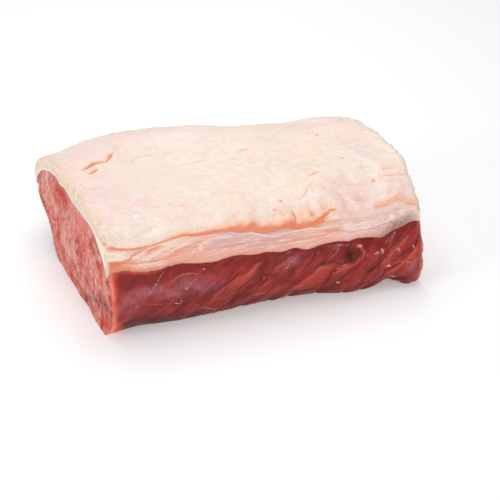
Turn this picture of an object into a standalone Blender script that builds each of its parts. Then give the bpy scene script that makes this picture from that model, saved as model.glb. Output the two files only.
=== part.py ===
"""A boneless beef porterhouse (striploin roast): lean, silverskin and fat cap, lying fat side up.

Metres, +Z up. X runs along the roast from its cut end on the left to the one on the right, and -Y is
the side where it was cut from the backbone. The origin is the centre of the bounding box's bottom.
"""

import math

import bmesh
import bpy
from mathutils import Matrix, Vector, noise

LENGTH = 0.262
CENTRE = Vector((0.13132, 0.08755, 0.0))  # the box's bottom centre, from the near left bottom corner
GAP = 0.0003

# Each table runs along the roast: distance from the left cut end, then the size there.
FOOT_DEPTH = [(0, 0), (0.03, 0.003), (0.06, -0.001), (0.135, 0), (0.17, -0.003), (0.2, -0.0125),
              (0.235, -0.013), (0.25, -0.019), (0.262, -0.016)]
LEAN_EDGE_DEPTH = [(0, -0.0105), (0.05, -0.011), (0.13, -0.0125), (0.21, -0.0145), (0.262, -0.0135)]
LEAN_EDGE_HEIGHT = [(0, 0.0558), (0.012, 0.0588), (0.031, 0.0546), (0.058, 0.0557), (0.087, 0.0518),
                    (0.105, 0.0537), (0.143, 0.0495), (0.153, 0.0502), (0.165, 0.0478), (0.19, 0.0492),
                    (0.215, 0.0478), (0.228, 0.0454), (0.2475, 0.0518), (0.262, 0.053)]
LIP_HEIGHT = [(0, 0.083), (0.02, 0.076), (0.04, 0.0758), (0.061, 0.0787), (0.09, 0.0763),
              (0.1, 0.0758), (0.117, 0.0724), (0.13, 0.0686), (0.143, 0.0694), (0.157, 0.0672),
              (0.175, 0.0684), (0.19, 0.069), (0.215, 0.0665), (0.24, 0.068), (0.262, 0.063)]
LEAN_CROWN = [(0, 0.0835), (0.05, 0.086), (0.13, 0.0855), (0.2, 0.084), (0.262, 0.0835)]
FAT_CROWN = [(0, 0.0935), (0.05, 0.0965), (0.13, 0.0965), (0.2, 0.0945), (0.262, 0.0935)]
CROWN_FRONT = [(0, 0.032), (0.06, 0.04), (0.13, 0.042), (0.2, 0.036), (0.262, 0.03)]
CROWN_BACK = [(0, 0.108), (0.018, 0.107), (0.045, 0.119), (0.09, 0.123), (0.115, 0.115), (0.14, 0.1035),
              (0.17, 0.093), (0.2, 0.085), (0.218, 0.0855), (0.235, 0.092), (0.262, 0.078)]
TAIL_DEPTH = [(0, 0.182), (0.018, 0.182), (0.045, 0.19), (0.09, 0.191), (0.115, 0.188), (0.14, 0.179),
              (0.17, 0.171), (0.2, 0.165), (0.218, 0.165), (0.235, 0.169), (0.262, 0.166)]
TAIL_HEIGHT = [(0, 0.047), (0.13, 0.044), (0.262, 0.045)]
BACK_POWER = [(0, 1.6), (0.05, 1.9), (0.2, 1.9), (0.262, 1.7)]

FRONT_SHARE, BACK_SHARE = 0.42, 0.28  # of the top's stations, on its front and back shoulders
LEAN_FRONT_POWER, FAT_FRONT_POWER = 1.35, 1.9
FRONT_BULGE = 0.007
SILVERSKIN = 0.0016
WEDGE_SHARE = 0.34  # of the top's stations, where the silverskin thins from the side band to a sheet
BAND_INSET = 0.0005
LIP_PROUD, LIP_ROUND = 0.003, 0.0025
FAT_WRAP_DEPTH, FAT_WRAP_HEIGHT = 0.0085, 0.008
TAIL_FOOT, TAIL_LIFT, TAIL_POWER, TAIL_TUCK = 0.12, 0.038, 1.8, 0.006

BUNDLE_PITCH, BUNDLE_RELIEF, BUNDLE_SLOPE = 0.021, 0.0026, 0.78  # slope is rise over run
PIT_AT, PIT_DEPTH, PIT_WIDTH = (0.2, 0.038), 0.004, 0.006
FOLD_START, FOLD_END = (0.184, 0.026), (0.213, 0.041)
FOLD_RISE, FOLD_WIDTH = 0.003, 0.0045
ARCH_AT, ARCH_WIDTH, ARCH_RISE = 0.235, 0.01, 0.0045
RIB_MARK_AT, RIB_MARK_PITCH, RIB_MARK_WIDTH, RIB_MARK_RISE = 0.028, 0.052, 0.006, 0.0022
RIB_MARKS_FROM, RIB_MARKS_TO = 0.012, 0.1  # how far in they start and end

LEFT_BULGE, RIGHT_BULGE, END_LUMP = 0.0025, 0.0035, 0.0016
CORNER_SET_BACK, SHOULDER_SET_BACK = 0.0045, 0.004
FAT_LUMP, FAT_LUMP_SIZE = 0.0016, 0.034
RUMPLE, RUMPLE_SIZE = 0.0018, 0.011
SLASH_START, SLASH_END = (0.018, 0.093), (0.046, 0.108)
SLASH_DEPTH, SLASH_WIDTH = 0.0022, 0.0035

ALONG, ACROSS, LEAN_UP, FAT_UP = 44, 22, 12, 2  # lattice cells


def along(table, x):
    """The value at x of the smooth curve through the table's points."""
    last = len(table) - 1
    i = max(0, min(last - 1, sum(1 for at, _ in table if at <= x) - 1))
    (x0, v0), (x1, v1) = table[i], table[i + 1]

    def slope(k):
        before, after = table[max(k - 1, 0)], table[min(k + 1, last)]
        return (after[1] - before[1]) / (after[0] - before[0])

    span = x1 - x0
    q = (x - x0) / span
    return (
        v0 * (1 + 2 * q) * (1 - q) ** 2
        + v1 * q * q * (3 - 2 * q)
        + span * q * (1 - q) * (slope(i) * (1 - q) - slope(i + 1) * q)
    )


def smooth(q):
    q = max(0.0, min(1.0, q))
    return q * q * (3 - 2 * q)


def dome(x, s, front, crown, back, front_power, back_power):
    """A section's top edge: a front shoulder, a nearly level crown and a back shoulder.
    front and back are (y, z), s runs from 0 at the front to 1 at the back."""
    crown_front, crown_back = along(CROWN_FRONT, x), along(CROWN_BACK, x)
    if s < FRONT_SHARE:
        a = s / FRONT_SHARE * math.pi / 2
        y = crown_front - (crown_front - front[0]) * math.cos(a) ** (2 / front_power)
        z = front[1] + (crown - front[1]) * math.sin(a) ** (2 / front_power)
    elif s < 1 - BACK_SHARE:
        q = (s - FRONT_SHARE) / (1 - BACK_SHARE - FRONT_SHARE)
        y = crown_front + (crown_back - crown_front) * q
        z = crown
    else:
        a = (s - 1 + BACK_SHARE) / BACK_SHARE * math.pi / 2
        y = crown_back + (back[0] - crown_back) * math.sin(a) ** (2 / back_power)
        z = back[1] + (crown - back[1]) * math.cos(a) ** (2 / back_power)
    return Vector((x, y, z))


def bundles(x, z):
    """How far the muscle bundles of the front side stand out at x and height z."""
    fade = 0.35 + 0.65 * smooth((x - 0.05) / 0.06)
    wander = 0.35 * noise.noise(Vector((x / 0.03, 0, z / 0.02)))
    phase = (x - z / BUNDLE_SLOPE) / BUNDLE_PITCH + wander
    return BUNDLE_RELIEF * fade * (abs(math.sin(math.pi * phase)) - 0.5)


def off_line(at, start, end):
    """How far the point is from the line between start and end."""
    at, start, end = Vector(at), Vector(start), Vector(end)
    q = max(0.0, min(1.0, (at - start).dot(end - start) / (end - start).length_squared))
    return (at - start.lerp(end, q)).length


def fold(x, z):
    """The twisted fold near the right end, with a dark pit behind it."""
    pit = math.exp(-(((Vector((x, z)) - Vector(PIT_AT)).length / PIT_WIDTH) ** 2))
    ridge = math.exp(-((off_line((x, z), FOLD_START, FOLD_END) / FOLD_WIDTH) ** 2))
    return FOLD_RISE * ridge - PIT_DEPTH * pit


def lean_front(x, t):
    foot, edge = along(FOOT_DEPTH, x), along(LEAN_EDGE_DEPTH, x)
    z = along(LEAN_EDGE_HEIGHT, x) * t
    y = foot + (edge - foot) * t - FRONT_BULGE * math.sin(math.pi * t ** 0.8)
    hold = math.sin(math.pi * t) ** 0.6  # no relief at the foot and under the band
    return Vector((x, y - (bundles(x, z) + fold(x, z)) * hold, z))


def lean_top(x, s):
    front = along(LEAN_EDGE_DEPTH, x), along(LEAN_EDGE_HEIGHT, x)
    back = along(TAIL_DEPTH, x), along(TAIL_HEIGHT, x)
    return dome(x, s, front, along(LEAN_CROWN, x), back, LEAN_FRONT_POWER, along(BACK_POWER, x))


def lean_bottom(x, s):
    foot, tail = along(FOOT_DEPTH, x), along(TAIL_DEPTH, x) - TAIL_TUCK
    y = foot + (tail - foot) * s
    q = max(0.0, (y - TAIL_FOOT) / (tail - TAIL_FOOT))
    lift = TAIL_LIFT * (1 - (1 - q) ** TAIL_POWER) * smooth(q / 0.3)
    arch = math.exp(-(((x - ARCH_AT) / ARCH_WIDTH) ** 2)) * smooth(1 - s * 4)
    rib = round((x - RIB_MARK_AT) / RIB_MARK_PITCH) * RIB_MARK_PITCH + RIB_MARK_AT
    across = smooth((y - RIB_MARKS_FROM) / 0.02) * smooth((RIB_MARKS_TO - y) / 0.03)
    mark = math.exp(-(((x - rib) / RIB_MARK_WIDTH) ** 2)) * across
    return Vector((x, y, lift + ARCH_RISE * arch + RIB_MARK_RISE * mark))


def lean(x, s, t):
    """The lean in each section: a patch spanned between its four edges."""
    bottom, top = lean_bottom(x, s), lean_top(x, s)
    tail_foot, tail_top = lean_bottom(x, 1), lean_top(x, 1)
    foot, edge = lean_bottom(x, 0), lean_top(x, 0)
    front = lean_front(x, t) + (1 - t) ** 2 * (foot - lean_front(x, 0))
    back = tail_foot.lerp(tail_top, t)
    corners = foot.lerp(edge, t).lerp(tail_foot.lerp(tail_top, t), s)
    return bottom.lerp(top, t) + front.lerp(back, s) - corners


def band_top(x, s):
    """The silverskin's outer face: high along the side band, then a thin sheet over the lean."""
    under = lean_top(x, s)
    rise = along(LIP_HEIGHT, x) - under.z - SILVERSKIN - GAP
    side = 1 - smooth(s / WEDGE_SHARE)
    start = lean_top(x, 0)
    lift = (along(LIP_HEIGHT, x) - start.z - SILVERSKIN) * side
    held = max(0.0, min(lift, rise if s < WEDGE_SHARE else 0.0))
    out = SILVERSKIN * smooth((s - 1 + BACK_SHARE) / BACK_SHARE)
    return under + Vector((0, BAND_INSET * side + out, SILVERSKIN + GAP + held))


def silverskin(x, s, t):
    over_back = GAP * smooth((s - 1 + BACK_SHARE) / BACK_SHARE)
    under = lean_top(x, s) + Vector((0, over_back, GAP))
    return under.lerp(band_top(x, s), t)


def fat_relief(x, y):
    """Lumps over the whole cap, rumpled fat near the lip on the right, and the slash on the left."""
    lumps = FAT_LUMP * noise.noise(Vector((x, y, 0)) / FAT_LUMP_SIZE)
    near_lip = smooth((x - 0.12) / 0.06) * smooth((0.045 - y) / 0.04)
    rumpled = RUMPLE * near_lip * noise.noise(Vector((x, y, 0.4)) / RUMPLE_SIZE)
    slash = math.exp(-((off_line((x, y), SLASH_START, SLASH_END) / SLASH_WIDTH) ** 2))
    return lumps + rumpled - SLASH_DEPTH * slash


def fat_outer(x, s):
    under = band_top(x, 0)
    front = under.y - LIP_PROUD, under.z + GAP + LIP_ROUND
    tail = lean_top(x, 1)
    back = tail.y + FAT_WRAP_DEPTH, tail.z + FAT_WRAP_HEIGHT
    skin = dome(x, s, front, along(FAT_CROWN, x), back, FAT_FRONT_POWER, along(BACK_POWER, x))
    inside = smooth(s / 0.1) * smooth((1 - s) / 0.1)
    return skin + Vector((0, 0, fat_relief(x, skin.y) * inside))


def fat(x, s, t):
    over_back = GAP * smooth((s - 1 + BACK_SHARE) / BACK_SHARE)
    under = band_top(x, s) + Vector((0, over_back, GAP))
    return under.lerp(fat_outer(x, s), t)


def slumped(point):
    """The point after the soft cut ends have bulged: the same shift for every layer."""
    depth = max(0.0, min(1.0, (point.y + 0.015) / 0.2))
    height = max(0.0, min(1.0, point.z / 0.097))
    full = math.sin(math.pi * depth)
    near_front = smooth((0.025 - point.y) / 0.035)
    corner = smooth(height / 0.12) * smooth((0.7 - height) / 0.25)
    left = -LEFT_BULGE * full * math.sin(math.pi * height) + CORNER_SET_BACK * corner * near_front
    left += END_LUMP * noise.noise(Vector((0, point.y, point.z)) / 0.03)
    right = RIGHT_BULGE * full * height - SHOULDER_SET_BACK * smooth((height - 0.5) / 0.5) * near_front
    right += END_LUMP * noise.noise(Vector((7, point.y, point.z)) / 0.02)
    near_left, near_right = smooth(1 - point.x / 0.03), smooth(1 - (LENGTH - point.x) / 0.03)
    return point + Vector((left * near_left + right * near_right, 0, 0)) - CENTRE


def material(name, colour, roughness):
    made = bpy.data.materials.new(name)
    made.use_nodes = True
    shader = made.node_tree.nodes["Principled BSDF"]
    shader.inputs["Base Color"].default_value = (*colour, 1)
    shader.inputs["Roughness"].default_value = roughness
    shader.inputs["Metallic"].default_value = 0
    return made


def block(name, place, up, look, collection):
    """A cube cut into a lattice, whose outside points are then set by place(x, s, t)."""
    mesh = bmesh.new()
    bmesh.ops.create_cube(mesh, size=1, matrix=Matrix.Translation((0.5, 0.5, 0.5)))
    for axis, cells in enumerate((ALONG, ACROSS, up)):
        for cut in range(1, cells):
            at, normal = Vector(), Vector()
            at[axis], normal[axis] = cut / cells, 1
            geometry = mesh.verts[:] + mesh.edges[:] + mesh.faces[:]
            bmesh.ops.bisect_plane(mesh, geom=geometry, dist=1e-5, plane_co=at, plane_no=normal)
    for face in mesh.faces[:]:
        # Facing skins of two layers are cut along the same diagonals, so they keep their gap.
        corners = sorted(face.verts, key=lambda vertex: sum(vertex.co))
        bmesh.utils.face_split(face, corners[0], corners[-1])
    for vertex in mesh.verts:
        x, s, t = vertex.co
        vertex.co = slumped(place(LENGTH * x, s, t))
    data = bpy.data.meshes.new(name)
    mesh.to_mesh(data)
    mesh.free()
    data.materials.append(look)
    data.shade_smooth()
    data.set_sharp_from_angle(angle=math.radians(40))
    made = bpy.data.objects.new(name, data)
    collection.objects.link(made)


def main():
    for old in list(bpy.data.objects):
        bpy.data.objects.remove(old)
    roast = bpy.data.collections.new("beef_porterhouse")
    bpy.context.scene.collection.children.link(roast)
    block("lean", lean, LEAN_UP, material("lean", (0.33, 0.045, 0.035), 0.35), roast)
    block("silverskin", silverskin, FAT_UP, material("silverskin", (0.72, 0.42, 0.36), 0.4), roast)
    block("fat_cap", fat, FAT_UP, material("fat", (0.9, 0.76, 0.66), 0.5), roast)


main()
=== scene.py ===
import math
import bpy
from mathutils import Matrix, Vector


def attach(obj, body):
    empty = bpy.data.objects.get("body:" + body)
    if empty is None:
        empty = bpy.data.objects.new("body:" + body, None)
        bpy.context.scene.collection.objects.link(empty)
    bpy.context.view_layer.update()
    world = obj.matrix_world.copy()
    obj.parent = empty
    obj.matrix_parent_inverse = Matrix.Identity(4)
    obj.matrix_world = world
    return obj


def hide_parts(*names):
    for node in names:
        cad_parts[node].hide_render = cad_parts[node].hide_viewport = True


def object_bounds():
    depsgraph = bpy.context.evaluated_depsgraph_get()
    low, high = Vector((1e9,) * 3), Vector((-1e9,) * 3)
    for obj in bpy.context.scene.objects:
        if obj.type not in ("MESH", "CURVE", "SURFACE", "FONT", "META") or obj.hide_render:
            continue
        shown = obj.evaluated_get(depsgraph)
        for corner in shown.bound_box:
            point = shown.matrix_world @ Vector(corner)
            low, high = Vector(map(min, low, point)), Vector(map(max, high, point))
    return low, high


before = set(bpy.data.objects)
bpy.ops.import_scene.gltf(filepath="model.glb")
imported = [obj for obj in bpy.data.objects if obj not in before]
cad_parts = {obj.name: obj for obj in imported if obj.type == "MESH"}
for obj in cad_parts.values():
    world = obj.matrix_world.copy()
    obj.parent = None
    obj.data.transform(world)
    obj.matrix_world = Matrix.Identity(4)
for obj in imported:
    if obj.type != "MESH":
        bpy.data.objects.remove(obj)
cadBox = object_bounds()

from types import SimpleNamespace

import bpy
import numpy as np
from mathutils import Vector, noise

mm = 0.001

# The roast's own sizes, in metres, with lists in mm. Each list runs along it: distance from the left cut end, then the
# size there.
roast = {
    "length": 0.262,
    "centre": (0.13132, 0.08755, 0.0),  # the frame's origin, from the near left bottom corner
    "footDepth": [(0, 0), (30, 3), (60, -1), (135, 0), (170, -3), (200, -12.5), (235, -13), (250, -19), (262, -16)],
    "leanEdgeDepth": [(0, -10.5), (50, -11), (130, -12.5), (210, -14.5), (262, -13.5)],
    "leanEdgeHeight": [
        (0, 55.2), (4, 57.5), (10, 59), (15, 58.8), (21, 56.7), (31, 54.6), (42, 54), (48, 55.2), (59, 55.8),
        (66, 54.8), (72, 53.4), (87, 51.8), (98, 53.5), (106, 53.7), (118, 51.6), (128, 51.8), (143, 49.4),
        (153, 50.6), (163, 47.4), (175, 49.2), (190, 49.4), (198, 47.8), (205, 48.8), (217, 47.6), (228, 45.2),
        (235, 48.5), (247.5, 51.8), (254, 53.8), (262, 53),
    ],
    "lipHeight": [
        (0, 83), (13, 77), (24, 75.7), (40, 75.8), (50, 77.5), (61, 78.7), (68, 77.8), (79, 76.6), (92, 76.3),
        (100, 75.8), (106, 73.7), (117, 72.4), (124, 69.4), (135, 68.4), (141, 69.6), (147, 69), (153, 67.4),
        (165, 67), (175, 68.4), (190, 69), (215, 66.5), (240, 68), (262, 63),
    ],
    "leanCrown": [(0, 83.5), (50, 86), (130, 85.5), (200, 84), (262, 83.5)],
    "fatCrown": [(0, 93.5), (50, 96.5), (130, 96.5), (200, 94.5), (262, 93.5)],
    "crownFront": [(0, 32), (60, 40), (130, 42), (200, 36), (262, 30)],
    "crownBack": [
        (0, 108), (18, 107), (45, 119), (90, 123), (115, 115), (140, 103.5), (170, 93), (200, 85), (218, 85.5),
        (235, 92), (262, 78),
    ],
    "tailDepth": [
        (0, 182), (18, 182), (45, 190), (90, 191), (115, 188), (140, 179), (170, 171), (200, 165), (218, 165),
        (235, 169), (262, 166),
    ],
    "tailHeight": [(0, 47), (130, 44), (262, 45)],
    "backPower": [(0, 1.6), (50, 1.9), (200, 1.9), (262, 1.7)],
    "leanFrontPower": [(0, 1.95), (12, 1.7), (50, 1.35), (262, 1.35)],
    "lipProud": [(0, 3), (185, 3), (205, 0.8), (262, 0.4)],
    "lipRound": [(0, 2.5), (185, 2.5), (205, 0.8), (262, 0.6)],
    "frontShare": 0.42, "backShare": 0.28, "fatFrontPower": 1.9, "frontBulge": 0.007, "silverskin": 0.0016,
    "wedgeShare": 0.34, "bandInset": 0.0005, "wrapDepth": 0.0085, "wrapHeight": 0.008, "tailFoot": 0.12,
    "tailLift": 0.038, "tailPower": 1.8, "tailTuck": 0.006, "bundlePitch": 0.021, "bundleRelief": 0.0019,
    "bundleSlope": 0.78, "archAt": 0.235, "archWidth": 0.01, "archRise": 0.0045, "ribAt": 0.028, "ribPitch": 0.052,
    "ribWidth": 0.006, "ribRise": 0.0022, "ribFrom": 0.012, "ribTo": 0.1, "leftBulge": 0.0025, "rightBulge": 0.0035,
    "endLump": 0.0016, "cornerSetBack": 0.0025, "shoulderSetBack": 0.004, "rimWave": 0.0012,
}


def smooth(q):
    q = np.clip(q, 0, 1)
    return q * q * (3 - 2 * q)


def rise(x, start, width):
    # from 0 at start to 1 a width further on
    return smooth((x - start) / width)


def fall(x, end, width):
    # from 1 a width before the end to 0 at it
    return smooth((end - x) / width)


def most(*shares):
    return np.maximum.reduce(shares)


def hump(distance, width):
    return np.exp(-((distance / width) ** 2))


def along(name, x, unit=mm):
    # the smooth curve through one of the roast's lists
    at, value = np.array(roast[name]).T * np.array([[mm], [unit]])
    last = len(at) - 1
    before, after = np.maximum(np.arange(last + 1) - 1, 0), np.minimum(np.arange(last + 1) + 1, last)
    slope = (value[after] - value[before]) / (at[after] - at[before])
    i = np.clip(np.searchsorted(at, x, side="right") - 1, 0, last - 1)
    span = at[i + 1] - at[i]
    q = (x - at[i]) / span
    return (value[i] * (1 + 2 * q) * (1 - q) ** 2 + value[i + 1] * q * q * (3 - 2 * q)
        + span * q * (1 - q) * (slope[i] * (1 - q) - slope[i + 1] * q))


def grain(points, size, shift=(0, 0, 0)):
    # soft noise from -1 to 1, with lumps about as wide as size
    placed = points / np.array(size) + np.array(shift)
    return np.fromiter((noise.noise(p) for p in placed.tolist()), float, len(placed))


def flat(x, y, z=0.0):
    return np.stack(np.broadcast_arrays(x, y, z), 1).astype(float)


def offLine(u, v, line):
    # how far each point is from a line of (u, v) corners in mm, and how far along the line it is, from 0 to 1
    best, where = np.full(u.shape, 1e9), np.zeros(u.shape)
    line = (np.array(line) * mm).tolist()
    steps = [math.dist(a, b) for a, b in zip(line, line[1:])]
    done, total = 0.0, sum(steps)
    for (au, av), (bu, bv), step in zip(line, line[1:], steps):
        q = np.clip(((u - au) * (bu - au) + (v - av) * (bv - av)) / step ** 2, 0, 1)
        off = np.hypot(u - au - q * (bu - au), v - av - q * (bv - av))
        nearer = off < best
        best = np.where(nearer, off, best)
        where = np.where(nearer, (done + q * step) / total, where)
        done += step
    return best, where


def patchwork(u, v, seed=0.0):
    # uneven patches about 1 wide: how far a point is from its patch's border, the patch's own random value, and how far
    # up the point lies in it
    cornerU, cornerV = np.floor(u), np.floor(v)
    first, second, value, height = np.full(u.shape, 9.0), np.full(u.shape, 9.0), np.zeros(u.shape), np.zeros(u.shape)
    for stepU in (-1, 0, 1):
        for stepV in (-1, 0, 1):
            atU, atV = cornerU + stepU, cornerV + stepV
            a = np.abs(np.sin(atU * 127.1 + atV * 311.7 + seed) * 43758.5) % 1
            b = np.abs(np.sin(atU * 269.5 + atV * 183.3 + seed) * 21337.3) % 1
            up = v - atV - 0.1 - 0.8 * b
            off = np.hypot(u - atU - 0.1 - 0.8 * a, up)
            closer = off < first
            second = np.where(closer, first, np.minimum(second, off))
            first = np.where(closer, off, first)
            value, height = np.where(closer, (a * 7 + b * 3) % 1, value), np.where(closer, up, height)
    return second - first, value, height


def ellipse(u, v, places):
    # 1 in the middle of any of the places, each (u, v, half width, half height) in mm, fading outwards
    best = np.zeros_like(u)
    for atU, atV, wide, high in np.array(places) * mm:
        best = np.maximum(best, np.exp(-(((u - atU) / wide) ** 2) - ((v - atV) / high) ** 2))
    return best


def mark(u, v, line, width, taper=True):
    # 1 on the line, fading to 0 past its width in mm; a tapered one thins towards its two ends
    off, where = offLine(u, v, line)
    wide = width * mm * (0.25 + 0.75 * np.sin(math.pi * np.clip(where, 0.02, 0.98)) ** 0.7) if taper else width * mm
    return hump(off, wide)


def dome(x, s, front, crown, back, frontPower, backPower):
    # a section's top edge: front shoulder, level crown, back shoulder; front and back are (y, z)
    crownFront, crownBack = along("crownFront", x), along("crownBack", x)
    a = np.clip(s / roast["frontShare"], 0, 1) * math.pi / 2
    frontY = crownFront - (crownFront - front[0]) * np.maximum(np.cos(a), 0) ** (2 / frontPower)
    frontZ = front[1] + (crown - front[1]) * np.maximum(np.sin(a), 0) ** (2 / frontPower)
    backStart = 1 - roast["backShare"]
    b = np.clip((s - backStart) / roast["backShare"], 0, 1) * math.pi / 2
    backY = crownBack + (back[0] - crownBack) * np.maximum(np.sin(b), 0) ** (2 / backPower)
    backZ = back[1] + (crown - back[1]) * np.maximum(np.cos(b), 0) ** (2 / backPower)
    q = (s - roast["frontShare"]) / (backStart - roast["frontShare"])
    y = np.where(s < roast["frontShare"], frontY, np.where(s < backStart, crownFront + (crownBack - crownFront) * q,
        backY))
    z = np.where(s < roast["frontShare"], frontZ, np.where(s < backStart, crown, backZ))
    return flat(x, y, z)


def bundles(x, z):
    fade = 0.35 + 0.65 * rise(x, 0.05, 0.06)
    wander = 0.35 * grain(flat(x / 0.03, 0, z / 0.02), 1)
    phase = (x - z / roast["bundleSlope"]) / roast["bundlePitch"] + wander
    return fade * (np.abs(np.sin(math.pi * phase)) - 0.5)


def fold(x, z):
    pit = hump(np.hypot(x - 0.2, z - 0.038), 0.006)
    ridge = hump(offLine(x, z, [(184, 26), (213, 41)])[0], 0.0045)
    return 0.003 * ridge - 0.004 * pit


def edgeHeight(x):
    # the ragged line where the lean meets the silverskin on the front
    ragged = 0.0005 * grain(flat(x / 0.007, 4), 1) + 0.0005 * grain(flat(x / 0.0034, 9), 1)
    return along("leanEdgeHeight", x) + ragged * smooth(x / 0.01)


def lipEdge(x):
    # the ragged line of the fat's lip on the front
    ragged = 0.0006 * grain(flat(x / 0.011, 14), 1) + 0.0006 * grain(flat(x / 0.0045, 19), 1)
    return along("lipHeight", x) + ragged * smooth(x / 0.006)


def leanFront(x, t):
    foot, edge = along("footDepth", x), along("leanEdgeDepth", x)
    z = edgeHeight(x) * t
    y = foot + (edge - foot) * t - roast["frontBulge"] * np.sin(math.pi * t ** 0.8)
    hold = np.maximum(np.sin(math.pi * t), 0) ** 0.6
    return flat(x, y - (roast["bundleRelief"] * bundles(x, z) + fold(x, z)) * hold, z)


def leanTop(x, s):
    front = along("leanEdgeDepth", x), edgeHeight(x)
    back = along("tailDepth", x), along("tailHeight", x)
    skin = dome(x, s, front, along("leanCrown", x), back, along("leanFrontPower", x, 1), along("backPower", x, 1))
    wave = (roast["rimWave"] * grain(flat(s / 0.045, 21), 1) * smooth(1 - x / 0.01)
        * np.sin(math.pi * np.clip(s, 0, 1)))
    return skin + flat(0 * x, 0, wave)


def leanBottom(x, s):
    foot, tail = along("footDepth", x), along("tailDepth", x) - roast["tailTuck"]
    y = foot + (tail - foot) * s
    q = np.clip((y - roast["tailFoot"]) / (tail - roast["tailFoot"]), 0, 1)
    lift = roast["tailLift"] * (1 - (1 - q) ** roast["tailPower"]) * smooth(q / 0.3)
    arch = hump(x - roast["archAt"], roast["archWidth"]) * smooth(1 - s * 4)
    rib = np.round((x - roast["ribAt"]) / roast["ribPitch"]) * roast["ribPitch"] + roast["ribAt"]
    across = smooth((y - roast["ribFrom"]) / 0.02) * smooth((roast["ribTo"] - y) / 0.03)
    ribMark = hump(x - rib, roast["ribWidth"]) * across
    return flat(x, y, lift + roast["archRise"] * arch + roast["ribRise"] * ribMark)


def blend(a, b, q):
    return a + (b - a) * q[:, None]


def leanPlace(x, s, t):
    none, full = np.zeros_like(x), np.ones_like(x)
    foot, edge = leanBottom(x, none), leanTop(x, none)
    tailFoot, tailTop = leanBottom(x, full), leanTop(x, full)
    front = leanFront(x, t) + ((1 - t) ** 2)[:, None] * (foot - leanFront(x, none))
    back = blend(tailFoot, tailTop, t)
    corners = blend(blend(foot, edge, t), back, s)
    return blend(leanBottom(x, s), leanTop(x, s), t) + blend(front, back, s) - corners


def bandTop(x, s):
    under, start = leanTop(x, s), leanTop(x, np.zeros_like(x))
    thin = roast["silverskin"]
    side = 1 - smooth(s / roast["wedgeShare"])
    rise = lipEdge(x) - under[:, 2] - thin
    lift = (lipEdge(x) - start[:, 2] - thin) * side
    held = np.maximum(0, np.minimum(lift, np.where(s < roast["wedgeShare"], rise, 0)))
    out = thin * smooth((s - 1 + roast["backShare"]) / roast["backShare"])
    return under + flat(0 * x, roast["bandInset"] * side + out, thin + held)


def bandPlace(x, s, t):
    return blend(leanTop(x, s), bandTop(x, s), t)


def fatSwell(x, y):
    lumps = 0.0016 * grain(flat(x, y), 0.034)
    nearLip = rise(x, 0.12, 0.06) * fall(y, 0.045, 0.04)
    rumpled = 0.0018 * nearLip * grain(flat(x / 0.011, y / 0.011, 0.4 / 0.011), 1)
    return lumps + rumpled


def fatOuter(x, s):
    under = bandTop(x, np.zeros_like(x))
    front = under[:, 1] - along("lipProud", x), under[:, 2] + along("lipRound", x)
    tail = leanTop(x, np.ones_like(x))
    back = tail[:, 1] + roast["wrapDepth"], tail[:, 2] + roast["wrapHeight"]
    skin = dome(x, s, front, along("fatCrown", x), back, roast["fatFrontPower"], along("backPower", x, 1))
    inside = smooth(s / 0.1) * fall(s, 1, 0.1)
    return skin + flat(0 * x, 0, fatSwell(x, skin[:, 1]) * inside)


def fatPlace(x, s, t):
    return blend(bandTop(x, s), fatOuter(x, s), t)


def slump(point):
    # the soft cut ends bulge, all layers together
    x, y, z = point.T
    depth, height = np.clip((y + 0.015) / 0.2, 0, 1), np.clip(z / 0.097, 0, 1)
    full = np.sin(math.pi * depth)
    nearFront = fall(y, 0.025, 0.035)
    corner = smooth(height / 0.12) * fall(height, 0.55, 0.3)
    left = -roast["leftBulge"] * full * np.sin(math.pi * height) + roast["cornerSetBack"] * corner * nearFront
    left += roast["endLump"] * grain(flat(0, y, z), 0.03)
    right = roast["rightBulge"] * full * height - roast["shoulderSetBack"] * rise(height, 0.5, 0.5) * nearFront
    right += roast["endLump"] * grain(flat(7, y, z), 0.02)
    nearLeft, nearRight = smooth(1 - x / 0.03), smooth(1 - (roast["length"] - x) / 0.03)
    return point + flat(left * nearLeft + right * nearRight, 0, 0)


# Mesh making

def lattice(cells):
    # the outside of a block of cells: its corners, as shares of each side, and its quads
    quads = []
    size = np.array(cells) + 1
    for axis, end in [(0, 0), (0, 1), (1, 0), (1, 1), (2, 0), (2, 1)]:
        a, b = (axis + 1) % 3, (axis + 2) % 3
        i, j = np.meshgrid(np.arange(cells[a]), np.arange(cells[b]), indexing="ij")
        ring = []
        for da, db in ((0, 0), (1, 0), (1, 1), (0, 1)):
            at = np.zeros((i.size, 3), int)
            at[:, axis], at[:, a], at[:, b] = end * cells[axis], i.ravel() + da, j.ravel() + db
            ring.append((at[:, 0] * size[1] + at[:, 1]) * size[2] + at[:, 2])
        quads.append(np.stack(ring if end else ring[::-1], 1))
    keys, index = np.unique(np.concatenate(quads), return_inverse=True)
    at = np.stack([keys // (size[1] * size[2]), keys // size[2] % size[1], keys % size[2]], 1)
    return at / np.array(cells), index.reshape(-1, 4)


def cornerNormals(points, quads):
    across = np.cross(points[quads[:, 2]] - points[quads[:, 0]], points[quads[:, 3]] - points[quads[:, 1]])
    total = np.zeros_like(points)
    for corner in range(4):
        for axis in range(3):
            total[:, axis] += np.bincount(quads[:, corner], across[:, axis], len(points))
    return total / np.maximum(np.linalg.norm(total, axis=1), 1e-12)[:, None]


def insideBox(points):
    # nothing stands out of the CAD model's box
    return np.clip(points, np.array(cadBox[0]) + roast["centre"], np.array(cadBox[1]) + roast["centre"])


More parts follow.
